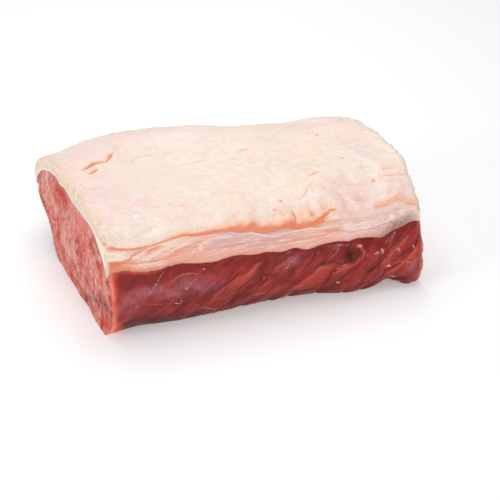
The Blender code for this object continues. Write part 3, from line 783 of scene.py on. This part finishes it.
def fatMasks(w):
    x, y, z, end = w.x, w.y, w.z, w.end
    # orange and peach: partly the fat's own stain along the creases, partly painted shade in pits, dips, between knobs
    # and under the lip
    creaseStainAndShade = np.zeros_like(x)
    for line, wide, deep, orange in fat["creases"]:
        creaseStainAndShade = most(creaseStainAndShade, min(1.4 * orange, 1) * mark(x, y, line, wide))
    for atX, atY, wide, deep in fat["pits"]:
        spot = hump(np.hypot(x - atX * mm, (y - atY * mm) * 1.2), wide * 0.9 * mm)
        creaseStainAndShade = most(creaseStainAndShade, min(0.9, 0.85 * deep + 0.15) * spot)
    nearLip, knob, _ = fatLumps(w)
    warmth = smooth(0.45 + 1.5 * grain(w.point, 0.006, (4, 0, 0)))
    # random warm patches near the lip, and painted shade in the valleys between its lumps
    creaseStainAndShade = most(creaseStainAndShade, nearLip * (0.25 * warmth + 0.12 * smooth(1 - knob / 0.5)))
    front = fall(y, 0.02, 0.02)
    # painted shade between the knobs
    between = ellipse(x, z, [(166, 76.5, 18, 6), (186, 78.5, 14, 4)]) * (1 - knobs(w))
    creaseStainAndShade = most(creaseStainAndShade, front * most(0.62 * between * (0.3 + 0.7 * warmth), 0.7 * mark(x, z, fat["lipSplit"], 1.0),
        0.85 * mark(x, z, fat["shelf"], 1.5)))
    # painted shade in the valleys of the wrinkles and of the right lumps
    creaseStainAndShade = most(creaseStainAndShade, 0.22 * smooth(-1.4 * wrinkles(w)), 0.26 * smooth(-2.2 * rightLumps(w)))
    # painted shade along the right end's fold and just above it
    off, above, counts = lipFoldOff(w)
    counts *= rise(x, 0.217, 0.006)
    creaseStainAndShade = most(creaseStainAndShade, counts * np.maximum(0.8 * hump(off, 0.0011) * (0.8 + 0.5 * grain(w.point, 0.006)),
        0.5 * hump(above - 0.0015, 0.0032)))
    # orange at the lip and above it: partly the fat's own stain, partly painted shade under the lip
    over = z - lipEdge(w.x0)
    reach = ((0.6 + 1.4 * rise(x, 0.035, 0.02) + 1.2 * rise(x, 0.09, 0.03)) * mm
        * (1 + 0.7 * grain(flat(x, 0, 0), 0.009)))
    strength = ((0.8 + 0.2 * rise(x, 0.03, 0.02)) * fall(x, 0.181, 0.012) * smooth(x / 0.004)
        * (1 + 0.35 * grain(flat(x, y, z), 0.005)))
    lip = strength * np.exp(-np.maximum(over - 2.7 * mm, 0) / reach) * fall(y, 0.02, 0.015)
    spreads = 3 * mm + 6.5 * mm * rise(x, 0.06, 0.06)
    wide = (0.85 * rise(x, 0.05, 0.05) * fall(x, 0.186, 0.015) * np.exp(-((np.maximum(over, 0) / spreads) ** 1.6))
        * fall(y, 0.02, 0.02))
    wide *= 0.8 + 0.6 * grain(w.point, 0.007, (6, 0, 0))
    rosy = rise(x, 0.172, 0.01) * smooth(1 - (above + 1.0 * mm) / (2 * mm)) * fall(y, 0.02, 0.02)
    rosy = np.maximum(rosy, 0.55 * ellipse(x, y, fat["peach"]) * smooth(0.7 + 0.8 * grain(w.point, 0.012, (3, 0, 0))))
    lilac = ellipse(x, y, fat["lilac"]) * smooth(0.6 + 0.9 * grain(w.point, 0.007, (2, 0, 0)))
    fromEnd = w.x0 - 0.003 * grain(w.point, 0.005)
    nearRim = smooth(1 - (fromEnd - 0.002) / 0.004)
    lilac = np.maximum(lilac, 0.85 * hump(fromEnd - 0.0075, 0.0035) * rise(y, 0.01, 0.02))
    # the left part of the fat is painted darker and greyer as shade
    return {"creaseStainAndShade": np.clip(most(creaseStainAndShade, lip) + wide, 0, 1) * (1 - end), "lilac": lilac * (1 - end),
        "scuff": ellipse(x, y, fat["scuffs"]), "rosy": rosy * (1 - end), "rim": np.clip(end + nearRim, 0, 1),
        "leftSideShade": fall(x, 0.11, 0.05)}


# Node making

making = {"tree": None}  # the node tree that is being made


def link(output, place):
    making["tree"].links.new(output, place)


def addNode(kind, inputs=None, **settings):
    node = making["tree"].nodes.new("ShaderNode" + kind)
    for key, value in settings.items():
        setattr(node, key, value)
    for key, value in (inputs or {}).items():
        if isinstance(value, str):  # the name of one of the piece's masks
            value = addNode("Attribute", attribute_name=value).outputs["Fac"]
        if isinstance(value, bpy.types.NodeSocket):
            link(value, node.inputs[key])
        else:
            node.inputs[key].default_value = value
    return node


def combine(operation, a, b=0.0, clamp=False):
    return addNode("Math", {0: a, 1: b}, operation=operation, use_clamp=clamp).outputs[0]


def times(a, b):
    return combine("MULTIPLY", a, b)


def plus(a, b):
    return combine("ADD", a, b)


def spread(value, low, high, start=0.0, end=1.0):
    # value from low..high to start..end, held there
    fields = {"Value": value, "From Min": low, "From Max": high, "To Min": start, "To Max": end}
    return addNode("MapRange", fields, interpolation_type="SMOOTHSTEP").outputs[0]


def mixColour(factor, a, b):
    a, b = [(*colour, 1) if isinstance(colour, tuple) else colour for colour in (a, b)]
    fields = {0: factor, 6: a, 7: b}
    return addNode("Mix", fields, data_type="RGBA").outputs[2]


def placed(size, turn=(0, 0, 0), move=(0, 0, 0)):
    # the object's own coordinates, turned, then counted in steps of size metres
    coordinates = addNode("TexCoord").outputs["Object"]
    fields = {"Vector": coordinates, "Location": move, "Rotation": turn, "Scale": size}
    return addNode("Mapping", fields, vector_type="TEXTURE").outputs[0]


def noiseAt(vector, detail=3.0, rough=0.55, bent=0.0):
    return addNode("TexNoise", {"Vector": vector, "Scale": 1.0, "Detail": detail, "Roughness": rough,
        "Distortion": bent}).outputs[0]


def vectors(operation, a, b):
    return addNode("VectorMath", {0: a, 1: b}, operation=operation).outputs[0]


def newGroup(name, outputs, values=()):
    tree = making["tree"] = bpy.data.node_groups.new(name, "ShaderNodeTree")
    tree.interface.new_socket("Vector", in_out="INPUT", socket_type="NodeSocketVector")
    for label in values:
        tree.interface.new_socket(label, in_out="INPUT", socket_type="NodeSocketFloat")
    for label in outputs:
        tree.interface.new_socket(label, in_out="OUTPUT", socket_type="NodeSocketFloat")
    return tree, tree.nodes.new("NodeGroupInput").outputs, tree.nodes.new("NodeGroupOutput").inputs


def makeFibres():
    # long fine fibres with darker gaps, along the vector's X
    tree, given, out = newGroup("fibres", ["Fibre", "Gap"])
    coarse = noiseAt(given["Vector"], 4.0, 0.6, 0.6)
    fine = noiseAt(vectors("MULTIPLY", given["Vector"], (1.7, 2.6, 2.6)), 3.0, 0.6, 0.3)
    fibre = plus(times(coarse, 0.62), times(fine, 0.38))
    link(fibre, out["Fibre"])
    link(spread(fibre, 0.46, 0.36), out["Gap"])
    return tree


def makeTornGrain():
    # muscle cut across: uneven packed strands, each with its own tone, and narrow gaps between them
    tree, given, out = newGroup("tornGrain", ["Tone", "Gap", "Height"])
    waves = addNode("TexNoise", {"Vector": given["Vector"], "Scale": 0.5, "Detail": 4.0,
        "Roughness": 0.65}).outputs[1]
    push = vectors("SUBTRACT", waves, (0.5, 0.5, 0.5))
    push = vectors("MULTIPLY", push, (5.5, 5.5, 3.2))
    bent = vectors("ADD", given["Vector"], push)
    edge = addNode("TexVoronoi", {"Vector": bent, "Scale": 1.0}, feature="DISTANCE_TO_EDGE").outputs["Distance"]
    own = addNode("TexVoronoi", {"Vector": bent, "Scale": 1.0}, feature="F1").outputs["Color"]
    fuzz = noiseAt(vectors("MULTIPLY", bent, (1.6, 1.6, 2.2)), 4.0, 0.7)
    tone = plus(times(addNode("SeparateColor", {0: own}).outputs[0], 0.25), times(fuzz, 0.75))
    link(tone, out["Tone"])
    link(times(spread(edge, 0.14, 0.0), spread(fuzz, 0.42, 0.6)), out["Gap"])
    link(plus(spread(edge, 0.0, 0.3), times(fuzz, 1.2)), out["Height"])
    return tree


def makeMoisture():
    # patches of wet film: where it is wet, it is smoother
    tree, given, out = newGroup("moisture", ["Wet", "Ripple"])
    patches = noiseAt(given["Vector"], 3.0, 0.6, 0.4)
    link(spread(patches, 0.38, 0.62), out["Wet"])
    ripple = noiseAt(vectors("MULTIPLY", given["Vector"], (6, 6, 6)), 2.0, 0.5)
    link(ripple, out["Ripple"])
    return tree


def makeGranules():
    # the small soft grains of fat
    tree, given, out = newGroup("fatGranules", ["Grain"])
    cells = addNode("TexVoronoi", {"Vector": given["Vector"], "Scale": 1.0}, feature="SMOOTH_F1").outputs["Distance"]
    soft = noiseAt(given["Vector"], 4.0, 0.6)
    link(plus(times(cells, 0.4), times(soft, 0.6)), out["Grain"])
    return tree


def makeFineLines():
    # thin broken lines that wander over the surface
    tree, given, out = newGroup("fineLines", ["Line"], ["Width"])
    winding = noiseAt(given["Vector"], 3.0, 0.55, 0.9)
    off = combine("ABSOLUTE", combine("SUBTRACT", winding, 0.5))
    seen = noiseAt(vectors("MULTIPLY", given["Vector"], (1.3, 1.3, 1.3)), 2.0, 0.6)
    link(times(spread(off, given["Width"], 0.0), spread(seen, 0.47, 0.6)), out["Line"])
    return tree


fibresGroup, tornGroup, moistureGroup = makeFibres(), makeTornGrain(), makeMoisture()
granulesGroup, linesGroup = makeGranules(), makeFineLines()


def grouped(group, vector, width=None):
    node = making["tree"].nodes.new("ShaderNodeGroup")
    node.node_tree = group
    link(vector, node.inputs["Vector"])
    if width:
        node.inputs["Width"].default_value = width
    return node.outputs


def newMaterial(name, settings):
    material = bpy.data.materials.new(name)
    material.use_nodes = True
    making["tree"] = material.node_tree
    shader = material.node_tree.nodes["Principled BSDF"]
    for key, value in settings.items():
        shader.inputs[key].default_value = value
    return material, shader


def layered(colour, colours, layers):
    # colour moved towards each layer's own in turn, where its mask is; layers are (mask, share, colour)
    for mask, share, name in layers:
        towards = colours[name] if isinstance(name, str) else name
        colour = mixColour(combine("MULTIPLY", mask, share, True), colour, towards)
    return colour


def makeLeanMaterial():
    colours = {"deep": (0.16, 0.012, 0.01), "red": (0.38, 0.032, 0.026), "bright": (0.66, 0.095, 0.06),
        "sheen": (0.4, 0.12, 0.15), "maroonShade": (0.22, 0.011, 0.008), "grooveShadow": (0.06, 0.006, 0.007),
        "corner": (0.76, 0.09, 0.042), "cornerHighlight": (0.91, 0.35, 0.25), "foot": (0.085, 0.008, 0.008),
        "fatBit": (0.8, 0.47, 0.43), "pitShade": (0.05, 0.006, 0.006), "endRed": (0.74, 0.085, 0.05),
        "endPale": (0.94, 0.53, 0.44), "endGap": (0.44, 0.022, 0.014), "salmon": (0.8, 0.2, 0.14),
        "endBright": (0.62, 0.03, 0.014), "endRedder": (0.68, 0.065, 0.035), "bruise": (0.2, 0.04, 0.06),
        "glintWhite": (0.86, 0.84, 0.84)}
    shine = {"Coat Roughness": 0.12, "Coat IOR": 1.36, "Specular IOR Level": 0.22, "Subsurface Weight": 0.12,
        "Subsurface Radius": (1.0, 0.25, 0.15), "Subsurface Scale": 0.002, "IOR": 1.38}
    material, shader = newMaterial("lean", shine)
    slant = (0, math.radians(-38), 0)
    across = grouped(fibresGroup, placed((0.011, 0.0019, 0.0019), slant))
    speckle = noiseAt(placed((0.0018, 0.0018, 0.0014), slant), 2.0, 0.6)
    cloud = noiseAt(placed((0.02, 0.02, 0.011), slant), 4.0, 0.6, 0.5)
    body = mixColour(spread(cloud, 0.36, 0.64, 0.1, 1.0), colours["deep"], colours["red"])
    ragged = noiseAt(placed((0.0032, 0.0032, 0.0016), slant), 4.0, 0.7, 0.8)
    bits = plus(times("fatBits", 0.75), ragged)
    torn = grouped(tornGroup, placed((0.0019, 0.0021, 0.0058), (math.radians(8), 0, 0)))
    blotch = noiseAt(placed((0.014, 0.014, 0.02)), 3.0, 0.6, 0.6)
    wavy = grouped(linesGroup, placed((0.013, 0.0105, 0.028), (math.radians(10), 0, 0)), 0.055)
    finer = grouped(linesGroup, placed((0.007, 0.006, 0.014), (math.radians(4), 0, 0), (0, 0.03, 0)), 0.05)
    furrow = combine("MAXIMUM", combine("MAXIMUM", wavy["Line"], finer["Line"]), times("furrow", 0.8))
    face = mixColour(spread(torn["Tone"], 0.32, 0.66), colours["endRed"], colours["endPale"])
    body = layered(body, colours, [
        # random leaf tone, and painted light on the leaves' upper edges
        (spread("tone", 0.5, 0.95), 0.6, "bright"),
        (spread("tone", 0.5, 0.1), 0.6, "deep"),
        (times("streaky", spread(across["Fibre"], 0.5, 0.68)), 0.3, "bright"),
        (times("streaky", across["Gap"]), 0.35, "deep"),
        # painted shade: maroon zones, under the band and towards the bottom
        ("shade", 0.9, "maroonShade"),
        # painted shade in the grooves and slits between the leaves
        ("grooveShade", 0.85, "grooveShadow"),
        (times("sheen", spread(speckle, 0.35, 0.6, 0.4, 1.0)), 0.85, "sheen"),
        # painted shade low on the front
        ("foot", 0.8, "foot"),
        ("corner", 0.85, "corner"),
        # painted highlight along the front's left edge
        ("cornerHighlight", 0.8, "cornerHighlight"),
        # painted highlight on the raised fold and loop
        ("ridge", 0.75, "bright"),
        (spread(bits, 0.86, 1.3), 0.95, "fatBit"),
        # painted shade in the pit
        ("pit", 0.9, "pitShade"),
    ])
    grainy = spread("salmon", 0.2, 0.9, 1.0, 0.25)
    face = layered(face, colours, [
        (spread(blotch, 0.5, 0.7), 0.5, "endRed"),
        ("paleEnd", 0.55, "endPale"),
        ("redder", 0.85, "endRedder"),
        ("brightEnd", 0.95, "endBright"),
        (times("bruise", spread(torn["Tone"], 0.6, 0.36, 0.6, 1.0)), 0.95, "bruise"),
        ("salmon", 0.8, "salmon"),
        (times(torn["Gap"], grainy), 0.8, "endGap"),
        (times(furrow, grainy), 0.8, "endGap"),
        # painted glints of the wet film
        (times("wetGlints", spread(torn["Tone"], 0.53, 0.57)), 0.9, "glintWhite"),
    ])
    link(mixColour("cutFace", body, face), shader.inputs["Base Color"])
    link(spread("cutFace", 0, 1, 0.3, 0.06), shader.inputs["Coat Weight"])
    film = grouped(moistureGroup, placed((0.012, 0.012, 0.008)))
    rough = plus(spread(film["Wet"], 0, 1, 0.5, 0.34), times("cutFace", 0.08))
    link(rough, shader.inputs["Roughness"])
    lines = plus(across["Fibre"], times(speckle, 0.5))
    torn = combine("SUBTRACT", times(torn["Height"], 1.5), times(furrow, 1.8))
    height = addNode("Mix", {0: "cutFace", 2: lines, 3: torn}, data_type="FLOAT").outputs[0]
    height = plus(height, times(film["Ripple"], 0.35))
    bump = addNode("Bump", {"Height": height, "Strength": 0.6, "Distance": 0.0007}).outputs[0]
    link(bump, shader.inputs["Normal"])
    return material


def makeBandMaterial():
    # the pale cream colour is a painted highlight on raised folds; the two reds are painted shade in dips, and also the
    # band's own red towards the lean
    colours = {"pink": (0.84, 0.43, 0.33), "cream": (0.93, 0.76, 0.61), "warm": (0.74, 0.2, 0.075),
        "grey": (0.72, 0.44, 0.42), "pale": (0.87, 0.59, 0.54), "creamHighlight": (0.95, 0.81, 0.69),
        "foldShadeRed": (0.8, 0.2, 0.1), "cut": (0.86, 0.74, 0.66), "cutCream": (0.88, 0.74, 0.58),
        "stainAndShade": (0.78, 0.32, 0.23), "bruise": (0.25, 0.17, 0.18), "bruiseEdgeShade": (0.07, 0.035, 0.045)}
    shine = {"Coat Weight": 0.3, "Coat Roughness": 0.22, "Coat IOR": 1.38, "Subsurface Weight": 0.25,
        "Subsurface Radius": (1.0, 0.45, 0.3), "Subsurface Scale": 0.002, "IOR": 1.4}
    material, shader = newMaterial("silverskin", shine)
    stripes = grouped(fibresGroup, placed((0.022, 0.0022, 0.0019), (0, math.radians(-4), 0)))
    curls = noiseAt(placed((0.014, 0.004, 0.0032), (0, math.radians(-12), 0)), 3.0, 0.6, 2.2)
    colour = mixColour("grey", colours["pink"], colours["grey"])
    striped = spread("pale", 0, 1, 1, 0.15)
    flaps = noiseAt(placed((0.008, 0.006, 0.0055)), 4.0, 0.65, 1.0)
    cutColour = mixColour("frontCorner", colours["cut"], colours["cutCream"])
    colour = layered(colour, colours, [
        ("pale", 1.0, "pale"),
        ("cream", 1.0, "cream"),
        # painted highlights on the raised stripes, flaps and curls, and painted shade in their dips
        (times(striped, spread(stripes["Fibre"], 0.5, 0.62)), 0.65, "creamHighlight"),
        (times(striped, stripes["Gap"]), 0.7, "stainAndShade"),
        (times("pale", spread(flaps, 0.53, 0.62)), 0.7, "creamHighlight"),
        (times("pale", spread(flaps, 0.47, 0.38)), 0.5, "stainAndShade"),
        (times("swirl", spread(curls, 0.52, 0.66)), 0.7, "creamHighlight"),
        (times("swirl", spread(curls, 0.46, 0.36)), 0.6, "stainAndShade"),
        ("warm", 0.95, "warm"),
        # painted highlight on raised folds, painted shade in sunk ones
        ("fold", 0.75, "creamHighlight"),
        ("fold", -0.9, "foldShadeRed"),
        # grey patch, partly painted shade; darker towards the lean as painted shade
        ("bruise", 0.9, "bruise"),
        (times("bruise", spread("high", 0.33, 0.0)), 0.85, "bruiseEdgeShade"),
        (spread("high", 0.34, 0.0), 0.6, "stainAndShade"),
        (spread("high", 0.05, 0.0), 0.6, "foldShadeRed"),
    ])
    colour = layered(colour, colours, [("cutFace", 1, cutColour)])
    link(colour, shader.inputs["Base Color"])
    film = grouped(moistureGroup, placed((0.014, 0.01, 0.006)))
    link(spread(film["Wet"], 0, 1, 0.55, 0.36), shader.inputs["Roughness"])
    height = plus(times(striped, stripes["Fibre"]), times(times(curls, "swirl"), 1.2))
    height = plus(height, times(times(flaps, "pale"), 1.6))
    bump = addNode("Bump", {"Height": height, "Strength": 0.5, "Distance": 0.0007}).outputs[0]
    link(bump, shader.inputs["Normal"])
    return material


def makeFatMaterial():
    colours = {"cream": (0.92, 0.765, 0.635), "white": (0.93, 0.8, 0.71), "pink": (0.92, 0.65, 0.58),
        "lilac": (0.88, 0.61, 0.61), "orange": (0.84, 0.27, 0.14), "peach": (0.93, 0.6, 0.45),
        "rim": (0.8, 0.66, 0.48), "rimPale": (0.8, 0.62, 0.54), "rimFleck": (0.8, 0.38, 0.25),
        "rimWhite": (0.88, 0.82, 0.74), "leftSideShade": (0.8, 0.7, 0.6), "scuff": (0.94, 0.9, 0.87),
        "rosy": (0.9, 0.63, 0.57), "vein": (0.9, 0.5, 0.42)}
    shine = {"Coat Weight": 0.12, "Coat Roughness": 0.35, "Coat IOR": 1.38, "Subsurface Weight": 0.5,
        "Subsurface Radius": (1.0, 0.5, 0.35), "Subsurface Scale": 0.003, "IOR": 1.42}
    material, shader = newMaterial("fat", shine)
    grains = grouped(granulesGroup, placed((0.0022, 0.0022, 0.0022)))
    cloud = noiseAt(placed((0.045, 0.03, 0.03)), 4.0, 0.6, 0.5)
    peachy = noiseAt(placed((0.016, 0.018, 0.012), (0, 0, 0), (0.7, 0, 0)), 5.0, 0.62, 0.8)
    veins = grouped(linesGroup, placed((0.017, 0.011, 0.011)), 0.014)
    wisps = grouped(linesGroup, placed((0.0085, 0.0055, 0.0055), (0, 0, 0), (0.05, 0.02, 0)), 0.014)
    small = noiseAt(placed((0.006, 0.008, 0.007), (0, 0, math.radians(25)), (0.3, 0, 0)), 5.0, 0.7, 1.2)
    fleck = noiseAt(placed((0.0026, 0.0026, 0.0026), (0, 0, 0), (0.1, 0, 0)), 3.0, 0.65, 0.6)
    colour = mixColour(spread(cloud, 0.38, 0.62), colours["cream"], colours["white"])
    rimColour = mixColour(spread(small, 0.4, 0.6), colours["rimPale"], colours["rim"])
    crumbs = noiseAt(placed((0.0035, 0.0035, 0.0035), (0, 0, 0), (0.4, 0, 0)), 3.0, 0.6, 0.8)
    colour = layered(colour, colours, [
        (spread(small, 0.5, 0.66), 0.5, "pink"),
        (spread(fleck, 0.5, 0.36), 0.35, "pink"),
        # painted shade over the fat's left part
        ("leftSideShade", 0.45, "leftSideShade"),
        (times("lilac", spread(small, 0.36, 0.56, 0.4, 1.0)), 0.95, "lilac"),
        (spread(peachy, 0.5, 0.68), 0.4, "pink"),
        (veins["Line"], 0.4, "vein"),
        (times(wisps["Line"], spread("lilac", 0, 0.6, 0.35, 1.0)), 0.34, "vein"),
        (spread(fleck, 0.56, 0.68), 0.45, "scuff"),
        (times("rosy", spread(small, 0.3, 0.6, 1.0, 0.45)), 0.9, "rosy"),
        # peach and orange: the fat's own stain, and painted shade in dips and under the lip
        (spread("creaseStainAndShade", 0.02, 0.5), 1, "peach"),
        (spread("creaseStainAndShade", 0.35, 0.9), 1, "orange"),
        (times("scuff", spread(fleck, 0.42, 0.58)), 0.9, "scuff"),
    ])
    rimColour = layered(rimColour, colours, [
        (spread(crumbs, 0.53, 0.62), 0.7, "rimFleck"),
        (spread(crumbs, 0.42, 0.34), 0.6, "rimWhite"),
    ])
    colour = layered(colour, colours, [("rim", 0.95, rimColour)])
    link(colour, shader.inputs["Base Color"])
    film = grouped(moistureGroup, placed((0.02, 0.02, 0.02)))
    link(spread(film["Wet"], 0, 1, 0.6, 0.45), shader.inputs["Roughness"])
    height = plus(times(grains["Grain"], 0.7), times(fleck, 0.7))
    height = plus(height, times(small, 0.8))
    height = combine("SUBTRACT", height, times(veins["Line"], 0.35))
    height = combine("SUBTRACT", height, times(wisps["Line"], 0.2))
    bump = addNode("Bump", {"Height": height, "Strength": 0.65, "Distance": 0.0008}).outputs[0]
    link(bump, shader.inputs["Normal"])
    return material


def buildRoast():
    recipes = [
        ("leanMeat", "lean", "lean", lean["cells"], leanPlace, leanRelief, leanMasks, makeLeanMaterial()),
        ("sideBand", "silverskin", "silverskin", band["cells"], bandPlace, bandRelief, bandMasks, makeBandMaterial()),
        ("fatCap", "fat_cap", "fat", fat["cells"], fatPlace, fatRelief, fatMasks, makeFatMaterial()),
    ]
    for name, node, slotName, cells, place, relief, masks, material in recipes:
        points, quads, where = layPiece(cells, place)
        shaped = insideBox(points + cornerNormals(points, quads) * relief(where)[:, None])
        piece = makePiece(name, shaped, quads, masks(where), material)
        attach(piece, "root")
        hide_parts(node)
        print("made", name, len(points), "points")
        if name == "leanMeat":
            sinew = makeThreads(shaped[(where.s == 0) & (where.t < 1)], makeThreadMaterial())
            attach(sinew, "root")
            print("made", sinew.name)


# From the front left and above, about a metre away: the place from the near left bottom corner in metres, the turn and
# the tilt in degrees, the lens and the sensor in mm
view = {"at": (-0.2633, -0.9317, 0.6084), "turn": 22.38, "tilt": 29.03, "lens": 106.85, "sensor": 36}


def setCamera():
    data = bpy.data.cameras.new("camera")
    data.sensor_width, data.lens = view["sensor"], view["lens"]
    data.clip_start, data.clip_end = 0.05, 20
    camera = bpy.data.objects.new("camera", data)
    bpy.context.collection.objects.link(camera)
    turn, tilt = math.radians(view["turn"]), math.radians(view["tilt"])
    ahead = Vector((math.sin(turn) * math.cos(tilt), math.cos(turn) * math.cos(tilt), -math.sin(tilt)))
    camera.location = np.array(view["at"]) - np.array(roast["centre"])
    camera.rotation_mode = "QUATERNION"
    camera.rotation_quaternion = ahead.to_track_quat("-Z", "Y")
    bpy.context.scene.camera = camera


studio = {
    # each lamp's place and size in metres, and its power in watts
    "lamps": {
        "overhead": ((0.0, 0.25, 1.15), 1.0, 6.9),
        "left": ((-1.2, -0.15, 0.42), 0.5, 4.7),
        "front": ((-0.1, -1.5, 0.75), 0.5, 7.8),
        "back": ((0.35, 1.1, 0.7), 0.7, 1.7),
    },
    "aim": (0, 0, 0.04), "air": 0.4, "floorReach": 6,
    "floor": (0.8, 0.815, 0.825), "floorGlow": 0.21,
}


def setStudio():
    world = bpy.data.worlds.new("air")
    bpy.context.scene.world = world
    world.use_nodes = True
    world.node_tree.nodes["Background"].inputs["Color"].default_value = (1, 1, 1, 1)
    world.node_tree.nodes["Background"].inputs["Strength"].default_value = studio["air"]
    for name, (place, size, power) in studio["lamps"].items():
        data = bpy.data.lights.new(name, "AREA")
        data.energy, data.size = power, size
        light = bpy.data.objects.new(name, data)
        light.location = place
        light.rotation_mode = "QUATERNION"
        light.rotation_quaternion = (Vector(studio["aim"]) - light.location).to_track_quat("-Z", "Y")
        bpy.context.collection.objects.link(light)
    floorMesh = bpy.data.meshes.new("floor")
    reach = studio["floorReach"]
    corners = [(-reach, -reach, 0), (reach, -reach, 0), (reach, reach, 0), (-reach, reach, 0)]
    floorMesh.from_pydata(corners, [], [(0, 1, 2, 3)])
    floor = bpy.data.objects.new("floor", floorMesh)
    bpy.context.collection.objects.link(floor)
    material, shader = newMaterial("floor", {"Base Color": (*studio["floor"], 1), "Roughness": 0.6,
        "Emission Color": (1, 1, 1, 1), "Emission Strength": studio["floorGlow"]})
    floorMesh.materials.append(material)
    settings = bpy.context.scene.view_settings
    settings.view_transform, settings.look, settings.exposure, settings.gamma = "Standard", "None", 0, 1


setCamera()
print("camera set")
buildRoast()
setStudio()
print("studio set")
